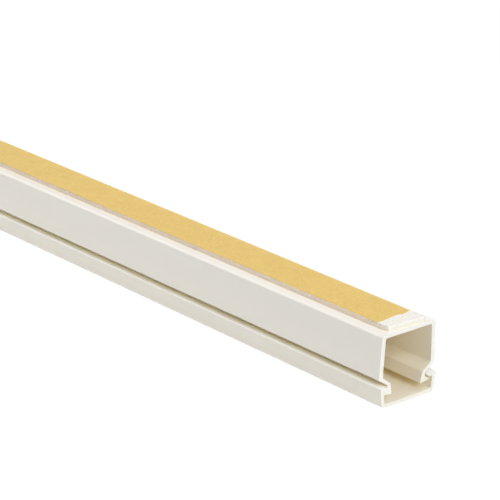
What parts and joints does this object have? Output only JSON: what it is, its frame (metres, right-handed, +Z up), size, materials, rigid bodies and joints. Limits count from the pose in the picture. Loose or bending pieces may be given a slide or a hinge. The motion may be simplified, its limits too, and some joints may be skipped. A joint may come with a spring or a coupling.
{
  "type": "cord cover raceway",
  "caption": "Square ivory PVC cord raceway stick: a channel base that sticks to a wall by its foam tape, and a cover whose hooked rims snap over barbs along the base.",
  "frame": {"origin": "middle of the whole stick, on the floor that the cover's outer face lies on", "axes": "+X along the stick towards the torn end of the liner, +Z up towards the tape on the base's back"},
  "size_m": [0.4006, 0.016, 0.0167],
  "materials": {
    "ivory_pvc": "satin",
    "foam": "matte",
    "liner_paper": "matte"
  },
  "bodies": {
    "base": {"base_channel": "ivory_pvc", "foam_tape": "foam", "release_liner": "liner_paper"},
    "cover": {"snap_cover": "ivory_pvc"}
  },
  "joints": [
    {"name": "cover_slide", "type": "slide", "parent": "base", "child": "cover", "axis": [1, 0, 0], "range_m": [-0.4, 0.4]}
  ]
}
